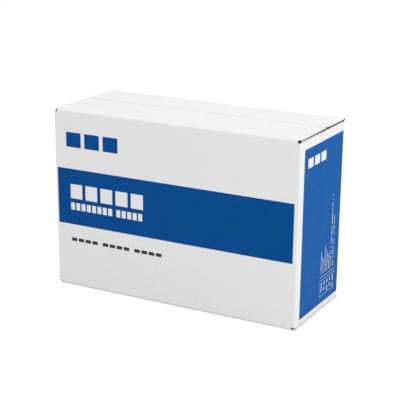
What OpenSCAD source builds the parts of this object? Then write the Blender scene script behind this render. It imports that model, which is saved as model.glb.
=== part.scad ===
// Sealed shipping carton for a stack of continuous form paper.
// A regular slotted carton: four panels in one folded strip, glued to a tab
// at the rear right corner, with outer flaps from the front and rear panels
// glued down over inner flaps from the two ends. Packed tight and never opened,
// so it is one solid. The printed fields lie on it as thin films of ink.
// X runs along the width, Y towards the rear and Z up. The origin is at the
// middle of the base, and every length is in millimetres.

/* [Carton] */
// Outside width, along the front panel
carton_w = 250; // [200:2:340]
// Outside depth, from the front face to the rear face
carton_d = 100; // [80:1:160]
// Outside height over the outer flaps
carton_h = 171; // [155:1:260]
// Thickness of the corrugated board
board_t = 1.8; // [1.2:0.1:3]
// Outside radius of every fold
fold_r = 2.1; // [2:0.1:3]

/* [Flaps] */
// Gap between the edges of the two outer flaps
seam_gap = 0.5; // [0.3:0.1:2]
// Distance of that seam behind the middle of the carton
seam_shift = 6; // [0:0.5:12]
// Distance of the top's outer flaps' cut ends inside the end faces
flap_setback = 0.4; // [0.2:0.1:0.8]
// Distance of the base's outer flaps inside the end faces
base_setback = 4; // [3.6:0.2:8]
// Distance inside the end faces where those flaps come to lie on the inner ones
flap_rest = 1; // [0.9:0.1:1.8]
// Width of the corner notches that free the outer flaps' folds
notch_w = 3.4; // [2.4:0.2:8]
// Depth of the corner notches along the end faces
notch_d = 1.4; // [0.8:0.2:4]
// Depth of the corner notches below the top face, or above the base
notch_h = 2.6; // [2:0.2:6]

/* [Glued joint] */
// Distance of the end panel's cut edge inside the rear face
joint_setback = 7; // [3:0.5:12]

/* [Print] */
// Thickness of the ink films
ink_t = 0.2; // [0.1:0.1:0.5]
// Bare margin between the front band and the left edge
band_left = 2.5; // [2.5:0.5:20]
// Bare margin between the front band and the right edge
band_right = 4.5; // [2.5:0.5:20]
// Height of the front band's lower edge
band_z = 61.5; // [50:0.5:64]
// Height of the front band
band_h = 54; // [44:0.5:56]
// Bare margin between the end field and the front edge
end_field_front = 8; // [4:0.5:16]
// Bare margin below the end field
end_field_low = 7.5; // [6:0.5:20]
// Bare margin above the end field
end_field_top = 10; // [6:0.5:20]

/* [Mark on the front] */
// Distance of the mark from the left edge
mark_left = 13; // [6:0.5:20]
// Width of one block of the mark
mark_w = 16; // [10:0.5:20]
// Height of one block of the mark
mark_h = 14; // [8:0.5:16]
// Gap between blocks of the mark
mark_gap = 4; // [2:0.5:8]
// Height of the mark above the front band
mark_rise = 21; // [10:0.5:24]

/* [Title in the band] */
// Distance of the title and the caption from the left edge
title_left = 16.5; // [6:0.5:24]
// Number of blocks in the title row
title_count = 5; // [1:1:8]
// Width of one block of the title row
title_w = 13; // [8:0.5:15]
// Height of the title row
title_h = 14; // [8:0.5:16]
// Gap between blocks of the title row
title_gap = 3.5; // [2:0.5:5]
// Height of the title row above the band's lower edge
title_rise = 25.5; // [23:0.5:27]
// Number of blocks in each word of the row below the title
small_words = [8, 5];
// Width of one block of that row
small_w = 4.4; // [3:0.2:5]
// Height of that row
small_h = 7; // [4:0.5:8]
// Gap between blocks of that row
small_gap = 1.5; // [0.8:0.1:2.5]
// Height of that row above the band's lower edge
small_rise = 14.5; // [6:0.5:14.5]

/* [Caption below the band] */
// Number of dashes in each word of the caption
caption_words = [4, 4, 4];
// Length of one dash
dash_w = 6; // [4:0.5:8]
// Height of one dash
dash_h = 3.2; // [2:0.2:5]
// Gap between dashes
dash_gap = 1.7; // [0.8:0.1:2.5]
// Height of the caption above the base
caption_z = 45; // [20:0.5:48]

/* [Mark on the ends] */
// Width of one block of the mark on an end
end_mark_w = 11; // [6:0.5:14]
// Height of one block of the mark on an end
end_mark_h = 8.5; // [5:0.5:12]
// Gap between those blocks
end_mark_gap = 3; // [1:0.5:5]
// Distance of the first block behind the field's front edge
end_mark_in = 8; // [4:0.5:12]
// Distance of the blocks below the field's upper edge
end_mark_drop = 9.5; // [5:0.5:30]

/* [Hidden] */
$fn = 48;

// Overlap of a cutting shape past the face that it opens
cut_over = 1;
// Number of blocks in each mark
mark_count = 3;
// Space between two words, in blocks
word_space = 0.5;
band_w = carton_w - band_left - band_right;
end_field_h = carton_h - end_field_low - end_field_top;
board_white = [0.93, 0.93, 0.92];
ink_blue = [0.04, 0.29, 0.56];
ink_grey = [0.25, 0.25, 0.26];

// A rectangle about the origin with rounded corners
module rounded_rectangle(width, height, radius) {
    square([width - 2 * radius, height], center = true);
    square([width, height - 2 * radius], center = true);
    for (side_x = [-1, 1], side_y = [-1, 1])
        translate([side_x * (width / 2 - radius), side_y * (height / 2 - radius)])
            circle(radius);
}

// Plan of the four panels, with the glued joint at the rear right corner
module panel_plan() {
    corner_x = carton_w / 2;
    corner_y = carton_d / 2;
    difference() {
        union() {
            rounded_rectangle(carton_w, carton_d, fold_r);
            translate([corner_x - fold_r, corner_y - fold_r])
                square(fold_r);
        }
        // The end panel's board is cut off here, just inside the rear face
        translate([corner_x - board_t, corner_y - joint_setback])
            square([board_t + cut_over, joint_setback + cut_over]);
        // The rear panel folds into the tab, one board inside the end panel
        translate([corner_x - board_t - fold_r, corner_y - fold_r])
            difference() {
                square([fold_r, fold_r + cut_over]);
                circle(fold_r);
            }
    }
}

// Everything inside the end panels and the inner flaps folded from them
module end_wrap() {
    translate([0, carton_d / 2, carton_h / 2])
        rotate([90, 0, 0])
            linear_extrude(carton_d)
                rounded_rectangle(carton_w, carton_h - 2 * board_t, fold_r);
}

// Everything inside the front and rear panels and the outer flaps folded from them,
// with its ends at a distance inside the end faces
module long_wrap(inside) {
    length = carton_w - 2 * inside;
    translate([-length / 2, 0, carton_h / 2])
        rotate([90, 0, 90])
            linear_extrude(length)
                rounded_rectangle(carton_d, carton_h, fold_r);
}

// The top's outer flaps, as a layer one board thick that reaches over the glued joint
module top_flaps() {
    intersection() {
        long_wrap(flap_setback);
        translate([-carton_w / 2, -carton_d / 2, carton_h - board_t])
            cube([carton_w, carton_d, board_t]);
    }
}

// Slot under the right end, where the base's outer flaps stop short
module base_slot() {
    translate([carton_w / 2 - base_setback, -carton_d / 2 - cut_over, -cut_over])
        cube([base_setback + cut_over, carton_d + 2 * cut_over, board_t + cut_over]);
}

// Gap between the outer flaps, as deep as their board
module flap_seam() {
    length = carton_w + 2 * cut_over;
    translate([-length / 2, seam_shift - seam_gap / 2, carton_h - board_t])
        cube([length, seam_gap, board_t + cut_over]);
}

// Notch in the folds at the front right corner of the top
module corner_notch() {
    translate([carton_w / 2 - notch_w, -carton_d / 2 - cut_over, carton_h - notch_h])
        cube([notch_w + cut_over, notch_d + cut_over, notch_h + cut_over]);
}

// Both closures: what is cut from the top is cut from the base as well
module top_and_base() {
    children();
    translate([0, 0, carton_h])
        mirror([0, 0, 1])
            children();
}

// Folded board of the sealed carton and all that it holds
module carton() {
    color(board_white)
        difference() {
            union() {
                intersection() {
                    linear_extrude(carton_h)
                        panel_plan();
                    union() {
                        end_wrap();
                        long_wrap(flap_rest);
                    }
                }
                top_flaps();
            }
            for (flip_x = [0, 1])
                mirror([flip_x, 0, 0])
                    base_slot();
            top_and_base() {
                flap_seam();
                for (flip_x = [0, 1], flip_y = [0, 1])
                    mirror([flip_x, 0, 0])
                        mirror([0, flip_y, 0])
                            corner_notch();
            }
        }
}

// Places a film on the front face: x from the left edge, y up from the base
module on_front() {
    translate([-carton_w / 2, -carton_d / 2, 0])
        rotate([90, 0, 0])
            linear_extrude(ink_t)
                children();
}

// The same on the rear face, seen from behind
module on_rear() {
    rotate([0, 0, 180])
        on_front()
            children();
}

// Places a film on the right end: x from its left edge, which is the front one
module on_right_end() {
    translate([carton_w / 2, -carton_d / 2, 0])
        rotate([90, 0, 90])
            linear_extrude(ink_t)
                children();
}

// The same on the left end, where its left edge is the rear one
module on_left_end() {
    rotate([0, 0, 180])
        on_right_end()
            children();
}

// A row of equal blocks
module block_row(count, width, height, gap) {
    for (i = [0 : count - 1])
        translate([i * (width + gap), 0])
            square([width, height]);
}

// Rows of equal blocks grouped in words
module word_row(words, width, height, gap) {
    // Blocks and spaces that come before word i
    function before(i) = i == 0 ? 0 : before(i - 1) + words[i - 1] + word_space;
    for (i = [0 : len(words) - 1])
        translate([before(i) * (width + gap), 0])
            block_row(words[i], width, height, gap);
}

// Blue band with its rows left bare, and the mark above it
module front_artwork() {
    difference() {
        translate([band_left, band_z])
            square([band_w, band_h]);
        translate([title_left, band_z + title_rise])
            block_row(title_count, title_w, title_h, title_gap);
        translate([title_left, band_z + small_rise])
            word_row(small_words, small_w, small_h, small_gap);
    }
    translate([mark_left, band_z + band_h + mark_rise])
        block_row(mark_count, mark_w, mark_h, mark_gap);
}

// Grey line of dashes below the band
module caption_artwork() {
    translate([title_left, caption_z])
        word_row(caption_words, dash_w, dash_h, dash_gap);
}

// Blue field with the mark left bare, up to a margin at its right edge
module end_artwork(margin) {
    difference() {
        translate([end_field_front, end_field_low])
            square([carton_d - end_field_front - margin, end_field_h]);
        translate([end_field_front + end_mark_in, carton_h - end_field_top - end_mark_drop - end_mark_h])
            block_row(mark_count, end_mark_w, end_mark_h, end_mark_gap);
    }
}

module front_print() {
    color(ink_blue)
        on_front()
            front_artwork();
}

module front_caption() {
    color(ink_grey)
        on_front()
            caption_artwork();
}

module rear_print() {
    color(ink_blue)
        on_rear()
            front_artwork();
}

module rear_caption() {
    color(ink_grey)
        on_rear()
            caption_artwork();
}

// Runs to the end panel's cut edge at the glued joint
module right_end_print() {
    color(ink_blue)
        on_right_end()
            end_artwork(joint_setback);
}

module left_end_print() {
    color(ink_blue)
        on_left_end()
            end_artwork(end_field_front);
}

carton();
front_print();
front_caption();
rear_print();
rear_caption();
right_end_print();
left_end_print();
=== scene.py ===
"""A sealed carton of continuous form paper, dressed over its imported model."""
import math
import random
from typing import NamedTuple

import bpy
from mathutils import Euler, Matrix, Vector


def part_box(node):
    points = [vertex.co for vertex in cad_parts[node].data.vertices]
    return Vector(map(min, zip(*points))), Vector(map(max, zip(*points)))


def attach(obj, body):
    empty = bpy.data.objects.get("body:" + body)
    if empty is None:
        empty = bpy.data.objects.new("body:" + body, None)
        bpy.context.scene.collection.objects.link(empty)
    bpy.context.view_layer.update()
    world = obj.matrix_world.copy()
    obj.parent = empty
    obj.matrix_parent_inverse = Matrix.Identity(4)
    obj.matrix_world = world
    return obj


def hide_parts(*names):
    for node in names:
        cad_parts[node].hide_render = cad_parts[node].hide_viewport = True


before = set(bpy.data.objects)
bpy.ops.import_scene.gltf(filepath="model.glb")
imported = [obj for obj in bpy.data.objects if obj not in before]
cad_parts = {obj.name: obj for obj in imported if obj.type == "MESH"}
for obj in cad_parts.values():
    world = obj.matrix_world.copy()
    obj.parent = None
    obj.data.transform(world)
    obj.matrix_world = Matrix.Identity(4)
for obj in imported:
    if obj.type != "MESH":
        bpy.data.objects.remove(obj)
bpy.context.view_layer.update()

MM = 0.001

# Sizes of the carton, in millimetres
box_low, box_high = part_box("carton")
WIDTH, DEPTH, HEIGHT = [(high - low) / MM for low, high in zip(box_low, box_high)]
BOARD = 1.8
FOLD = 2.1
JOINT_SETBACK = 7.0
TAB_WIDTH = 26.0
TAB_END = 4.0

# Outer flaps, the seam between them and the notches at their corners
SEAM_GAP = 0.5
SEAM_SHIFT = 6.0
FLAP_SETBACK = 0.4
BASE_SETBACK = 4.0
NOTCH_WIDTH = 3.4
NOTCH_DEPTH = 1.4
NOTCH_HEIGHT = 2.6
# Corners off the flaps where the seam meets their ends
SEAM_CORNER = 1.4

# Inner flaps: their length, the gap to the outer ones and their sides' distance from the long faces
INNER_FLAP = 46.0
INNER_GAP = 0.1
INNER_SIDE = 6.0
# How far the paper's weight bends the ends' lower folds down, and how high up that begins
END_SAG = 1.2
SAG_START = 40.0

# Corrugated board, seen at a cut edge
LINER = 0.2
CUT_DEPTH = 1.6
FLUTE_PITCH = 3.3
# Thickness of a liner at the notches and the seam's ends, and how far from those it is worn
WORN_LINER = 0.06
WORN_REACH = 0.1
# How far the knife has pressed up the inner liner at the ends of the front's outer flaps, at their fold
PRESSED = 0.5

# Length of a fold along its outer face, and the angle at which that lies a notch's depth inside
ARC = FOLD * math.pi / 2
NOTCH_TURN = math.acos(1 - NOTCH_DEPTH / FOLD)
# Base and top of the end panels, which stand between the outer flaps
END_BASE = BOARD + INNER_GAP
END_TOP = HEIGHT - END_BASE

LONG_SIDES = ("front", "rear")
ENDS = ("left", "right")

# Fineness of the board's mesh, with extra rows where the lower folds hang down
ARC_STEPS = 8
CELL = 8.0
SAG_ROWS = (0.6, 1.2, 1.8)
# Grid lines closer than this are one
SAME_LINE = 1e-4
ROUNDING = 1e-6
# Edges sharper than this many degrees are not smoothed
SHARP_ANGLE = 35

# Material slots of the board
WHITE, INNER, MEDIUM = 0, 1, 2

# Ink films, over and under the board's face
INK_OVER = 0.06
INK_UNDER = 0.04

# Print on the long faces, from the left edge and up from the base. A block is a width, height and gap.
BAND = (2.5, 61.5, 245.5, 115.5)
MARK_LEFT = 13.0
MARK_LOW = 136.5
MARK_COUNT = 3
MARK_BLOCK = (16.0, 14.0, 4.0)
TITLE_LEFT = 16.5
TITLE_LOW = 87.0
TITLE_COUNT = 5
TITLE_BLOCK = (13.0, 14.0, 3.5)
SMALL_LOW = 76.0
SMALL_BLOCK = (4.4, 7.0, 1.5)
SMALL_WORDS = (8, 5)
CAPTION_LOW = 45.0
CAPTION_BLOCK = (6.0, 3.2, 1.7)
CAPTION_WORDS = (4, 4, 4)
# Space between two words, in blocks
WORD_SPACE = 0.5

# Printed field on the ends
END_FIELD_FRONT = 8.0
END_FIELD_LOW = 7.5
END_FIELD_TOP = 10.0
END_MARK_IN = 8.0
END_MARK_DROP = 9.5
END_BLOCK = (11.0, 8.5, 3.0)

# Small lines that run up the right end as rows of dashes: the left edge and length of each
FINE_LINES = ((53.0, 24), (57.2, 16), (61.8, 26), (66.2, 19), (70.6, 17), (75.0, 71), (80.2, 51))
FINE_LOW = 36.0
FINE_WIDTHS = (1.0, 1.5, 1.8)
DASH = 1.3
DASH_PITCH = 1.9
# Share of the dashes that are there, in those lines and in the table
LINE_SHARE = 0.86
TABLE_SHARE = 0.8

# Table below them, and the rule above it
TABLE = (51.5, 14.0, 86.0, 29.0)
RULE = 0.4
HIGH_RULE = 32.3
TABLE_IN = 3.2
TABLE_LOW = 16.0
TABLE_ROWS = 5
TABLE_PITCH = 6.4
TABLE_DASHES = 6
TABLE_WIDTH = 2.2

# Two tones of each surface, between which it varies
LINER_TONES = ((0.815, 0.815, 0.815), (0.825, 0.825, 0.825))
KRAFT_TONES = ((0.20, 0.145, 0.095), (0.27, 0.20, 0.135))
# Medium in front of the seam: near-black tones, painted shade of the hollows in the cut edges
FRONT_MEDIUM_PAINTED_SHADE_TONES = ((0.052, 0.040, 0.025), (0.078, 0.060, 0.038))
REAR_MEDIUM_TONES = ((0.205, 0.118, 0.040), (0.275, 0.158, 0.053))
FRONT_BLUE_TONES = ((0.0030, 0.077, 0.290), (0.0016, 0.072, 0.280))
# The same blue ink on the ends, in lighter tones: painted light and painted sheen
END_BLUE_PAINTED_LIGHT_TONES = ((0.011, 0.113, 0.388), (0.008, 0.108, 0.376))
GREY_TONES = ((0.050, 0.050, 0.053), (0.040, 0.040, 0.042))
# Relief of the papers' fibres and of the flutes under them, in millimetres
FIBRE_RELIEF = 0.006
FLUTE_RELIEF = 0.004
KRAFT_RELIEF = 0.04
# A normal that leans farther than this towards X is on an end
END_NORMAL = 0.7

# Floor, in metres, and how it shows to the camera: its glow, the share of that beside the carton and
# the millimetres under the carton's edge over which it fades
FLOOR_REACH = 6.0
FLOOR_DROP = 0.0001
FLOOR_COLOUR = (0.8, 0.8, 0.8, 1)
FLOOR_GLOW = 1.06
GLOW_SHARE = 0.88
GLOW_FADE = 2.0

# Light, with places and sizes in metres and power in watts
PURE_WHITE = (1, 1, 1, 1)
WORLD_FILL = 0.755
LAMPS = {
    "top_soft": {"place": (0.05, 0.1, 1.1), "size": 1.0, "power": 3.0},
    "right_soft": {"place": (1.2, -0.1, 0.4), "size": 0.9, "power": 3.7},
    "front_soft": {"place": (0.5, -1.4, 0.6), "size": 1.0, "power": 2.7},
}

# Camera, in metres and degrees, and its lens and sensor in millimetres
CAMERA_PLACE = (0.5134, -0.9447, 0.4088)
CAMERA_AZIMUTH = 28.395
CAMERA_ELEVATION = 18.508
CAMERA_ROLL = 0.449
CAMERA_LENS = 108.09
CAMERA_SHIFT = 0.1
SENSOR = 36.0


class Part(NamedTuple):
    """One stretch of the plan: a straight panel, or a fold, which turns left."""

    name: str
    start: float
    length: float
    point: Vector
    heading: float


def direction(heading):
    return Vector((math.cos(heading), math.sin(heading)))


def right_of(along):
    return Vector((along.y, -along.x))


class Plan:
    """Outline of the panels seen from above, as the path of the board's outer face.
    It runs from the glue tab along the rear, left end, front and right end, with the outside on its
    right. A place on it is given by s, the distance along it."""

    def __init__(self):
        self.point = Vector((WIDTH / 2 - BOARD, DEPTH / 2 - FOLD - TAB_WIDTH))
        self.heading = math.radians(90)
        self.length = 0.0
        self.parts = []
        self.straight("tab", TAB_WIDTH)
        self.turn()
        self.straight("rear", WIDTH - BOARD - 2 * FOLD)
        self.turn()
        self.straight("left", DEPTH - 2 * FOLD)
        self.turn()
        self.straight("front", WIDTH - 2 * FOLD)
        self.turn()
        self.straight("right", DEPTH - FOLD - JOINT_SETBACK)

    def add(self, name, length):
        self.parts.append(Part(name, self.length, length, self.point.copy(), self.heading))
        self.length += length

    def straight(self, name, length):
        self.add(name, length)
        self.point += length * direction(self.heading)

    def turn(self):
        self.add("fold", ARC)
        along = direction(self.heading)
        self.point += FOLD * (along - right_of(along))
        self.heading += math.pi / 2

    def index(self, s):
        """Index of the part that holds s."""
        for i, part in enumerate(self.parts):
            if s <= part.start + part.length:
                return i
        return len(self.parts) - 1

    def at(self, s):
        """Point on the path, the direction out, and the share of an end panel's form that the board
        has there. The rest is a long panel's."""
        i = self.index(s)
        part = self.parts[i]
        if part.name != "fold":
            along = direction(part.heading)
            share = 1.0 if part.name in ENDS else 0.0
            return part.point + (s - part.start) * along, right_of(along), share
        turned = (s - part.start) / part.length
        centre = part.point - FOLD * right_of(direction(part.heading))
        out = right_of(direction(part.heading + turned * math.pi / 2))
        smooth = turned * turned * (3 - 2 * turned)
        if self.parts[i + 1].name in ENDS:
            share = smooth
        elif self.parts[i - 1].name in ENDS:
            share = 1 - smooth
        else:
            share = 0.0
        return centre + FOLD * out, out, share

    def on_end(self, s):
        """Whether s lies on an end panel, or on that part of its side folds behind the notches."""
        i = self.index(s)
        if self.parts[i].name in ENDS:
            return True
        beside = {part.name for part in self.parts[max(i - 1, 0):i + 2]}
        if self.parts[i].name != "fold" or beside.isdisjoint(ENDS):
            return False
        return abs(self.at(s)[0].y) < DEPTH / 2 - NOTCH_DEPTH

    def outer_flap(self, s):
        """Panel's name, point and direction out where s lies on an outer flap, which is longer than
        its panel and runs on past the folds. None elsewhere."""
        for part in self.parts:
            if part.name in LONG_SIDES:
                along = direction(part.heading)
                foot = part.point + (s - part.start) * along
                if abs(foot.x) <= WIDTH / 2 - FLAP_SETBACK + ROUNDING:
                    return part.name, foot, right_of(along)
        return None


def lift(h, top):
    """Height, distance inside the face and tilt of the board at h, the height on a panel, which runs
    on over its folds and along its flaps. Its folds end at that top, and as far above the base as the
    top is below the lid."""
    high_start, low_start = top - FOLD, HEIGHT - top + FOLD
    if low_start <= h <= high_start:
        return h, 0.0, 0.0
    up = h > high_start
    run = h - high_start if up else low_start - h
    if run < ARC:
        angle = run / FOLD
        rise, inward = FOLD * math.sin(angle), FOLD * (1 - math.cos(angle))
    else:
        angle = math.pi / 2
        rise, inward = FOLD, FOLD + run - ARC
    if up:
        return high_start + rise, inward, angle
    return low_start - rise, inward, -angle


def sag(h, inward):
    """How far the board of an end panel hangs down, most of all where no outer flap lies under it."""
    up = min(max(h / SAG_START, 0), 1)
    inside = min(inward / BASE_SETBACK, 1)
    return END_SAG * (1 - up) * (1 - inside ** 2)


def subdivide(marks, step):
    """The marks in order, with even steps between marks that lie far apart."""
    marks = sorted(marks)
    lines = [marks[0]]
    for mark in marks[1:]:
        start = lines[-1]
        gap = mark - start
        if gap >= SAME_LINE:
            count = max(1, round(gap / step))
            lines += [start + gap * (i + 1) / count for i in range(count)]
    return lines


class Blank:
    """The blank of corrugated board, folded up into the carton. A place on it is given by s along
    the plan, h up the board and a depth under its outer face."""

    def __init__(self):
        self.plan = Plan()
        self.flap_reach = {
            "front": DEPTH / 2 + SEAM_SHIFT - SEAM_GAP / 2,
            "rear": DEPTH / 2 - SEAM_SHIFT - SEAM_GAP / 2,
            "left": INNER_FLAP,
            "right": INNER_FLAP,
        }

    def place(self, s, h, depth):
        """Point in space, in millimetres."""
        foot, out, share = self.plan.at(s)
        long_lift = lift(h, HEIGHT)
        flap = self.plan.outer_flap(s)
        if flap and long_lift[1] > NOTCH_DEPTH - ROUNDING:
            _, foot, out = flap
            share = 0.0
        end_z, end_inward, end_tilt = lift(h, END_TOP)
        end_lift = (end_z - sag(h, end_inward), end_inward, end_tilt)
        z, inward, tilt = [(1 - share) * a + share * b for a, b in zip(long_lift, end_lift)]
        normal = Vector((out.x * math.cos(tilt), out.y * math.cos(tilt), math.sin(tilt)))
        return Vector((foot.x - out.x * inward, foot.y - out.y * inward, z)) - depth * normal

    def present(self, s, h):
        """Whether the blank has board there."""
        name = self.plan.parts[self.plan.index(s)].name
        if NOTCH_HEIGHT < h < HEIGHT - NOTCH_HEIGHT:
            return name != "tab" or TAB_END < h < HEIGHT - TAB_END
        if self.plan.on_end(s):
            _, inward, _ = lift(h, END_TOP)
            from_side = DEPTH / 2 - abs(self.plan.at(s)[0].y)
            return inward < FOLD or from_side > INNER_SIDE and inward < INNER_FLAP
        flap = self.plan.outer_flap(s)
        if not flap:
            return False
        panel, foot, _ = flap
        _, inward, _ = lift(h, HEIGHT)
        from_end = WIDTH / 2 - abs(foot.x)
        from_seam = self.flap_reach[panel] - inward
        if from_seam < 0 or max(from_seam, from_end) < SEAM_CORNER:
            return False
        if h < NOTCH_HEIGHT:
            return from_end > BASE_SETBACK
        if inward < NOTCH_DEPTH:
            return name != "fold" and from_end > NOTCH_WIDTH
        return from_end > FLAP_SETBACK

    def columns(self):
        """Grid lines across the plan."""
        marks = []
        for part in self.plan.parts:
            start, end = part.start, part.start + part.length
            marks += [start, end]
            if part.name == "fold":
                marks += [start + part.length * i / ARC_STEPS for i in range(ARC_STEPS)]
                marks += [start + FOLD * NOTCH_TURN, end - FOLD * NOTCH_TURN]
            elif part.name in LONG_SIDES:
                middle = start + abs(part.point.x)
                for inside in (FLAP_SETBACK, SEAM_CORNER, NOTCH_WIDTH, BASE_SETBACK):
                    marks += [middle - WIDTH / 2 + inside, middle + WIDTH / 2 - inside]
            elif part.name in ENDS:
                middle = start + abs(part.point.y)
                marks += [middle - DEPTH / 2 + INNER_SIDE, middle + DEPTH / 2 - INNER_SIDE]
        return subdivide([mark for mark in marks if mark <= self.plan.length], CELL)

    def rows(self):
        """Grid lines across h, the same above as below."""
        marks = [NOTCH_HEIGHT, TAB_END, FOLD - FOLD * NOTCH_TURN]
        for base in (0.0, END_BASE):
            marks += [base + FOLD - ARC * i / ARC_STEPS for i in range(ARC_STEPS + 1)]
        for name, reach in self.flap_reach.items():
            base = END_BASE if name in ENDS else 0.0
            edge = base + 2 * FOLD - ARC - reach
            marks += [edge, edge + SEAM_CORNER]
        marks += [END_BASE + FOLD - ARC - row for row in SAG_ROWS]
        marks += [HEIGHT - mark for mark in marks]
        return subdivide(marks, CELL)

    def is_worn(self, s, h):
        """Whether a cut edge lies at a corner notch or where the seam meets the flaps' ends."""
        x, y, _ = self.place(s, h, 0.0)
        from_end = WIDTH / 2 - abs(x) - WORN_REACH
        from_side = DEPTH / 2 - abs(y) - WORN_REACH
        from_seam = abs(y - SEAM_SHIFT) - SEAM_GAP / 2 - WORN_REACH
        at_notch = from_end < BASE_SETBACK and from_side < NOTCH_DEPTH
        return at_notch or from_end < SEAM_CORNER and from_seam < SEAM_CORNER

    def cut_profile(self, s, h):
        """Hollow between the liners of a cut edge, as pairs of depth and distance into the board."""
        outer = inner = WORN_LINER if self.is_worn(s, h) else LINER
        flap = self.plan.outer_flap(s)
        if flap and flap[0] == "front" and WIDTH / 2 - abs(flap[1].x) < SEAM_CORNER:
            _, inward, _ = lift(h, HEIGHT)
            inner += PRESSED * max(1 - inward / self.flap_reach["front"], 0)
        return (
            (0.0, 0.0),
            (outer, 0.0),
            (outer, CUT_DEPTH),
            (BOARD - inner, CUT_DEPTH),
            (BOARD - inner, 0.0),
            (BOARD, 0.0),
        )


class GridSolid:
    """A sheet made of those cells of a grid that are present, closed into one solid.
    Its cut edges follow a profile, which may change from place to place: pairs of depth under the
    outer face and distance into the sheet."""

    def __init__(self, s_lines, h_lines, present, place, profile, edge_slots, inner_slot):
        self.s, self.h = s_lines, h_lines
        self.place = place
        self.profile = profile
        self.edge_slots, self.inner_slot = edge_slots, inner_slot
        self.cells = {
            (i, j)
            for i in range(len(s_lines) - 1)
            for j in range(len(h_lines) - 1)
            if present((s_lines[i] + s_lines[i + 1]) / 2, (h_lines[j] + h_lines[j + 1]) / 2)
        }
        self.vertices, self.index = [], {}
        self.faces, self.slots = [], []

    def vertex(self, i, j, k):
        """Index of the vertex at grid lines i and j and point k of the edge's profile."""
        key = (i, j, k)
        if key not in self.index:
            s, h = self.s[i], self.h[j]
            depth, into = self.profile(s, h)[k]
            if into:
                right = sum((i, b) in self.cells for b in (j - 1, j))
                left = sum((i - 1, b) in self.cells for b in (j - 1, j))
                above = sum((a, j) in self.cells for a in (i - 1, i))
                below = sum((a, j - 1) in self.cells for a in (i - 1, i))
                s += into * ((right > left) - (right < left))
                h += into * ((above > below) - (above < below))
            self.index[key] = len(self.vertices)
            self.vertices.append(self.place(s, h, depth) * MM)
        return self.index[key]

    def face(self, corners, slot):
        self.faces.append(corners)
        self.slots.append(slot)

    def edge(self, start, end):
        """Faces of a cut edge from start to end, with the sheet on its left."""
        for k, slot in enumerate(self.edge_slots):
            corners = ((start, k + 1), (end, k + 1), (end, k), (start, k))
            self.face([self.vertex(*corner, point) for corner, point in corners], slot)

    def build(self, name, materials):
        """The solid as a piece, with its outer face in the first material's slot."""
        last = len(self.edge_slots)
        for i, j in sorted(self.cells):
            ring = ((i, j), (i + 1, j), (i + 1, j + 1), (i, j + 1))
            self.face([self.vertex(*corner, 0) for corner in ring], 0)
            self.face([self.vertex(*corner, last) for corner in reversed(ring)], self.inner_slot)
            beside = ((i, j - 1), (i + 1, j), (i, j + 1), (i - 1, j))
            for k, other in enumerate(beside):
                if other not in self.cells:
                    self.edge(ring[k], ring[(k + 1) % 4])
        mesh = bpy.data.meshes.new(name)
        mesh.from_pydata(self.vertices, [], self.faces)
        for material in materials:
            mesh.materials.append(material)
        mesh.polygons.foreach_set("material_index", self.slots)
        mesh.polygons.foreach_set("use_smooth", [True] * len(self.faces))
        mesh.set_sharp_from_angle(angle=math.radians(SHARP_ANGLE))
        mesh.update()
        return link_object(name, mesh)


def link_object(name, data):
    """A new object in the scene."""
    linked = bpy.data.objects.new(name, data)
    bpy.context.scene.collection.objects.link(linked)
    return linked


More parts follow.
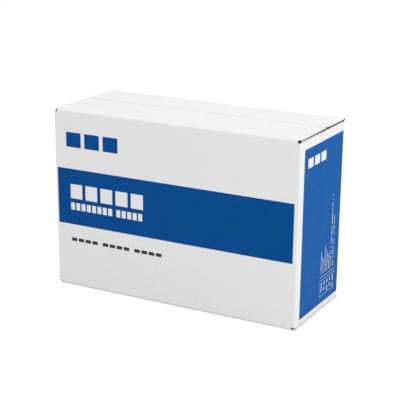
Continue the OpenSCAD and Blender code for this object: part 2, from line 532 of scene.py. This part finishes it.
class Nodes:
    """Short calls that add nodes to a tree. An input is given a socket to link, or else its value."""

    def __init__(self, tree):
        self.tree = tree

    def fill(self, node, inputs):
        for key, value in inputs.items():
            if isinstance(value, bpy.types.NodeSocket):
                self.tree.links.new(value, node.inputs[key])
            else:
                node.inputs[key].default_value = value

    def new(self, kind, inputs=None, **settings):
        node = self.tree.nodes.new(kind)
        for name, value in settings.items():
            setattr(node, name, value)
        self.fill(node, inputs or {})
        return node

    def calculate(self, operation, first, second=0.0):
        return self.new("ShaderNodeMath", {0: first, 1: second}, operation=operation).outputs[0]

    def place(self):
        """Coordinates in the object's own space."""
        return self.new("ShaderNodeTexCoord").outputs["Object"]

    def axes(self, vector):
        """Sockets of a vector's three numbers, by their axis."""
        return self.new("ShaderNodeSeparateXYZ", {"Vector": vector}).outputs

    def noise(self, scale, detail=3.0, height_scale=1.0):
        mapping = self.new("ShaderNodeMapping", {"Vector": self.place(), "Scale": (1, 1, height_scale)})
        vector = mapping.outputs["Vector"]
        inputs = {"Vector": vector, "Scale": scale, "Detail": detail, "Roughness": 0.55}
        return self.new("ShaderNodeTexNoise", inputs).outputs["Fac"]

    def ramp(self, factor, stops):
        """Colour that changes with a factor: each stop is a position and a colour."""
        node = self.new("ShaderNodeValToRGB", {"Fac": factor})
        for element, (position, colour) in zip(node.color_ramp.elements, stops):
            element.position = position
            element.color = (*colour, 1)
        return node.outputs["Color"]

    def tones(self, noise, tones, full=0.7):
        """Colour between two tones, of which the second is full at that value of the noise."""
        return self.ramp(noise, ((0.3, tones[0]), (full, tones[1])))

    def spread(self, noise, low, high):
        """Number between low and high that changes with a noise."""
        inputs = {"Value": noise, "From Min": 0.3, "From Max": 0.7, "To Min": low, "To Max": high}
        return self.new("ShaderNodeMapRange", inputs).outputs["Result"]

    def mix(self, factor, colour, other, blend_type="MIX"):
        """Second colour over the first. A colour mix has those in sockets 6 and 7, and its result
        in socket 2."""
        inputs = {"Factor": factor, 6: colour, 7: other}
        return self.new("ShaderNodeMix", inputs, data_type="RGBA", blend_type=blend_type).outputs[2]

    def bump(self, height, distance, **under):
        """Normal of a relief so many millimetres high, over another normal if one is given."""
        inputs = {"Height": height, "Strength": 1.0, "Distance": distance * MM}
        inputs.update(under)
        return self.new("ShaderNodeBump", inputs).outputs["Normal"]

    def washboard(self):
        """Height of the flutes that show through the liner: ridges across the width on the long
        faces and the lid, and across the depth on the ends."""
        normal = self.new("ShaderNodeNewGeometry").outputs["Normal"]
        sideways = self.calculate("ABSOLUTE", self.axes(normal)["X"])
        on_end = self.calculate("GREATER_THAN", sideways, END_NORMAL)
        # At a scale of 1, a wave texture repeats every tau / 20
        scale = math.tau / 20 / (FLUTE_PITCH * MM)
        inputs = {"Vector": self.place(), "Scale": scale, "Distortion": 0.3, "Detail": 1.0}
        waves = [self.new("ShaderNodeTexWave", inputs, bands_direction=axis) for axis in "XY"]
        width_wave, depth_wave = [wave.outputs["Fac"] for wave in waves]
        # A mix of numbers has them in sockets 2 and 3, and its result in socket 0
        inputs = {"Factor": on_end, 2: width_wave, 3: depth_wave}
        return self.new("ShaderNodeMix", inputs, data_type="FLOAT").outputs[0]


class Paper(Nodes):
    """A material of paper or ink, with one shader. Its colour is flecked by the fibres."""

    def __init__(self, name):
        self.material = bpy.data.materials.new(name)
        self.material.use_nodes = True
        super().__init__(self.material.node_tree)
        self.shader = self.tree.nodes["Principled BSDF"]

    def calender(self, fibres, patches, gloss_high):
        """Roughness and relief of a smooth paper face over flutes."""
        relief = self.bump(self.washboard(), FLUTE_RELIEF)
        relief = self.bump(fibres, FIBRE_RELIEF, Normal=relief)
        roughness = self.spread(patches, 0.55, gloss_high)
        self.fill(self.shader, {"Roughness": roughness, "Normal": relief})

    def finish(self, tone, fleck, specular):
        colour = self.mix(1.0, tone, fleck, "MULTIPLY")
        self.fill(self.shader, {"Base Color": colour, "Specular IOR Level": specular})
        return self.material


def white_liner():
    paper = Paper("white_liner")
    fibres = paper.noise(900, detail=5, height_scale=0.35)
    patches = paper.noise(60, detail=2)
    paper.calender(fibres, patches, 0.62)
    fleck = paper.ramp(fibres, ((0.25, (0.98, 0.98, 0.98)), (0.45, (1.0, 1.0, 1.0))))
    return paper.finish(paper.tones(patches, LINER_TONES), fleck, 0.2)


def ink(name, tones):
    """Flexographic ink: a little lighter where it is laid thin over the fibres."""
    paper = Paper(name)
    fibres = paper.noise(900, detail=5, height_scale=0.35)
    patches = paper.noise(60, detail=2)
    paper.calender(fibres, patches, 0.63)
    fleck = paper.ramp(fibres, ((0.25, (1.0, 1.0, 1.0)), (0.7, (0.93, 0.95, 0.96))))
    return paper.finish(paper.tones(patches, tones, 0.6), fleck, 0.04)


def kraft(name, tones, rear_tones):
    """Brown unbleached paper, as the medium and the inner liner are, in tones of its own in the rear
    flaps behind the seam. In front of the seam the medium's tones are near black: painted shade of the
    hollows in its cut edges."""
    paper = Paper(name)
    fibres = paper.noise(700, detail=6, height_scale=0.4)
    patches = paper.noise(90)
    behind_seam = paper.calculate("GREATER_THAN", paper.axes(paper.place())["Y"], SEAM_SHIFT * MM)
    # Tones in front of the seam, which for the medium are painted shade, and the rear tones behind it
    tone = paper.mix(behind_seam, paper.tones(patches, tones), paper.tones(patches, rear_tones))
    fleck = paper.ramp(fibres, ((0.3, (0.8, 0.78, 0.75)), (0.6, (1.0, 1.0, 1.0))))
    paper.fill(paper.shader, {"Roughness": 0.85, "Normal": paper.bump(fibres, KRAFT_RELIEF)})
    return paper.finish(tone, fleck, 0.2)


def carton_board():
    """The carton: one folded blank of corrugated board."""
    blank = Blank()
    edge_slots = (WHITE, MEDIUM, MEDIUM, MEDIUM, WHITE)
    solid = GridSolid(
        blank.columns(), blank.rows(), blank.present, blank.place, blank.cut_profile, edge_slots, INNER
    )
    materials = (
        white_liner(),
        kraft("kraft_inner", KRAFT_TONES, KRAFT_TONES),
        # The medium: painted shade in front of the seam, kraft brown behind it
        kraft("kraft_medium_and_painted_shade", FRONT_MEDIUM_PAINTED_SHADE_TONES, REAR_MEDIUM_TONES),
    )
    piece = solid.build("carton_board", materials)
    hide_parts("carton")
    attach(piece, "root")


def block_row(left, low, count, block):
    """Boxes of a row of equal blocks: (left, low, right, high) each."""
    width, height, gap = block
    lefts = [left + i * (width + gap) for i in range(count)]
    return [(start, low, start + width, low + height) for start in lefts]


def word_row(left, low, words, block):
    """Boxes of a row of blocks in words."""
    width, _, gap = block
    boxes = []
    for count in words:
        boxes += block_row(left, low, count, block)
        left += (count + WORD_SPACE) * (width + gap)
    return boxes


def place_on_face(corner_x, corner_y, along_x, along_y):
    """For a face with that lower left corner, a function that turns a distance from the left edge, a
    height and a depth into a point."""
    origin = Vector((corner_x, corner_y, 0))
    along = Vector((along_x, along_y, 0))
    out = Vector((along_y, -along_x, 0))

    def place(u, z, depth):
        return origin + u * along + z * Vector((0, 0, 1)) - depth * out

    return place


FACES = {
    "front": place_on_face(-WIDTH / 2, -DEPTH / 2, 1, 0),
    "rear": place_on_face(WIDTH / 2, DEPTH / 2, -1, 0),
    "right": place_on_face(WIDTH / 2, -DEPTH / 2, 0, 1),
    "left": place_on_face(-WIDTH / 2, DEPTH / 2, 0, -1),
}


def film(node, face, material, inked, bare=()):
    """A film of ink that covers the inked boxes but not the bare ones."""
    boxes = list(inked) + list(bare)
    s_lines = sorted({round(value, 4) for box in boxes for value in (box[0], box[2])})
    h_lines = sorted({round(value, 4) for box in boxes for value in (box[1], box[3])})

    def inside(u, z, box):
        return box[0] < u < box[2] and box[1] < z < box[3]

    def present(u, z):
        return any(inside(u, z, b) for b in inked) and not any(inside(u, z, b) for b in bare)

    def profile(u, z):
        return (-INK_OVER, 0.0), (INK_UNDER, 0.0)

    solid = GridSolid(s_lines, h_lines, present, FACES[face], profile, (0,), 0)
    piece = solid.build(node + "_film", (material,))
    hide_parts(node)
    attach(piece, "root")


def long_face_print(name, blue, grey):
    """Band, mark and caption of the front, or of the rear."""
    marks = block_row(MARK_LEFT, MARK_LOW, MARK_COUNT, MARK_BLOCK)
    bare = block_row(TITLE_LEFT, TITLE_LOW, TITLE_COUNT, TITLE_BLOCK)
    bare += word_row(TITLE_LEFT, SMALL_LOW, SMALL_WORDS, SMALL_BLOCK)
    film(name + "_print", name, blue, [BAND] + marks, bare)
    caption = word_row(TITLE_LEFT, CAPTION_LOW, CAPTION_WORDS, CAPTION_BLOCK)
    film(name + "_caption", name, grey, caption)


def dash_box(left, low, i, width):
    """Box of dash i in a line of dashes that runs up from low."""
    start = low + i * DASH_PITCH
    return left, start, left + width, start + DASH


def fine_print():
    """Bare dashes of the small lines that run up the right end, and of the table below them."""
    draw = random.Random(7)
    boxes = []
    for left, length in FINE_LINES:
        for i in range(int(length / DASH_PITCH)):
            if draw.random() < LINE_SHARE:
                boxes.append(dash_box(left, FINE_LOW, i, draw.choice(FINE_WIDTHS)))
    left, low, right, high = TABLE
    for z in (low, high, HIGH_RULE):
        boxes.append((left, z, right, z + RULE))
    boxes.append((left, low, left + RULE, high))
    for row in range(TABLE_ROWS):
        start = left + TABLE_IN + TABLE_PITCH * row
        for i in range(TABLE_DASHES):
            if draw.random() < TABLE_SHARE:
                boxes.append(dash_box(start, TABLE_LOW, i, TABLE_WIDTH))
    return boxes


def end_face_print(face, blue, margin, fine=()):
    """Blue field of an end up to a margin at its right edge, with its mark left bare."""
    high = HEIGHT - END_FIELD_TOP
    field = (END_FIELD_FRONT, END_FIELD_LOW, DEPTH - margin, high)
    low = high - END_MARK_DROP - END_BLOCK[1]
    marks = block_row(END_FIELD_FRONT + END_MARK_IN, low, MARK_COUNT, END_BLOCK)
    # The field's ink is the ends' lighter copy of the blue ink: painted light and painted sheen
    film(face + "_end_print", face, blue, [field], marks + list(fine))


def straight_to_eye(nodes):
    """1 for a ray from the camera, or one that a glossy or clear surface sends on."""
    rays = nodes.new("ShaderNodeLightPath").outputs
    seen = nodes.calculate("MAXIMUM", rays["Is Camera Ray"], rays["Is Glossy Ray"])
    return nodes.calculate("MAXIMUM", seen, rays["Is Transmission Ray"])


def beside_carton(nodes):
    """How white the floor is: 0 in the dark under the carton, and near 1 beside it."""
    axes = nodes.axes(nodes.place())
    beyond = [
        nodes.calculate("SUBTRACT", nodes.calculate("ABSOLUTE", axes[axis]), size / 2 * MM)
        for axis, size in (("X", WIDTH), ("Y", DEPTH))
    ]
    outside = nodes.calculate("MAXIMUM", *beyond)
    inputs = {"Value": outside, "From Min": -GLOW_FADE * MM, "From Max": 0.0, "To Max": GLOW_SHARE}
    return nodes.new("ShaderNodeMapRange", inputs).outputs["Result"]


def blend_to_output(nodes, output, share, lit, seen):
    """Ends a tree of a floor or sky with the lit shader, and a share of the one seen."""
    inputs = {"Fac": share, 1: lit.outputs[0], 2: seen.outputs[0]}
    blend = nodes.new("ShaderNodeMixShader", inputs)
    nodes.new(output, {"Surface": blend.outputs[0]})


def pale_floor():
    """A plain pale floor, white to the camera."""
    corners = [(x * FLOOR_REACH, y * FLOOR_REACH) for x, y in ((-1, -1), (1, -1), (1, 1), (-1, 1))]
    mesh = bpy.data.meshes.new("floor")
    mesh.from_pydata([(x, y, -FLOOR_DROP) for x, y in corners], [], [(0, 1, 2, 3)])
    floor = link_object("floor", mesh)
    material = bpy.data.materials.new("floor")
    material.use_nodes = True
    material.node_tree.nodes.clear()
    nodes = Nodes(material.node_tree)
    lit = nodes.new("ShaderNodeBsdfDiffuse", {"Color": FLOOR_COLOUR})
    seen = nodes.new("ShaderNodeEmission", {"Strength": FLOOR_GLOW})
    share = nodes.calculate("MULTIPLY", straight_to_eye(nodes), beside_carton(nodes))
    blend_to_output(nodes, "ShaderNodeOutputMaterial", share, lit, seen)
    mesh.materials.append(material)


def white_sky():
    """Soft light from all around, white to the camera."""
    world = bpy.data.worlds.new("studio")
    bpy.context.scene.world = world
    world.use_nodes = True
    world.node_tree.nodes.clear()
    nodes = Nodes(world.node_tree)
    lit = nodes.new("ShaderNodeBackground", {"Color": PURE_WHITE, "Strength": WORLD_FILL})
    seen = nodes.new("ShaderNodeBackground", {"Color": PURE_WHITE})
    blend_to_output(nodes, "ShaderNodeOutputWorld", straight_to_eye(nodes), lit, seen)


def lamps():
    """Large soft lamps, each turned towards the middle of the carton."""
    aim = Vector((0, 0, HEIGHT * MM / 2))
    for name, values in LAMPS.items():
        data = bpy.data.lights.new(name, "AREA")
        data.shape = "SQUARE"
        data.size = values["size"]
        data.energy = values["power"]
        lamp = link_object(name, data)
        lamp.location = values["place"]
        lamp.rotation_euler = (aim - lamp.location).to_track_quat("-Z", "Y").to_euler()


def camera():
    data = bpy.data.cameras.new("camera")
    data.sensor_width = SENSOR
    data.lens = CAMERA_LENS
    data.shift_y = CAMERA_SHIFT
    eye = link_object("camera", data)
    eye.location = CAMERA_PLACE
    look = Euler((math.radians(90 - CAMERA_ELEVATION), 0, math.radians(CAMERA_AZIMUTH))).to_quaternion()
    roll = Euler((0, 0, math.radians(CAMERA_ROLL))).to_quaternion()
    eye.rotation_euler = (look @ roll).to_euler()
    bpy.context.scene.camera = eye


carton_board()
front_blue = ink("blue_ink_front", FRONT_BLUE_TONES)
# Lighter copy of the same blue ink for the ends: painted light and painted sheen
end_blue_painted_light = ink("blue_ink_end_painted_light", END_BLUE_PAINTED_LIGHT_TONES)
grey = ink("grey_ink", GREY_TONES)
long_face_print("front", front_blue, grey)
long_face_print("rear", front_blue, grey)
end_face_print("right", end_blue_painted_light, JOINT_SETBACK, fine_print())
end_face_print("left", end_blue_painted_light, END_FIELD_FRONT)
pale_floor()
white_sky()
lamps()
camera()
bpy.context.scene.view_settings.view_transform = "Standard"
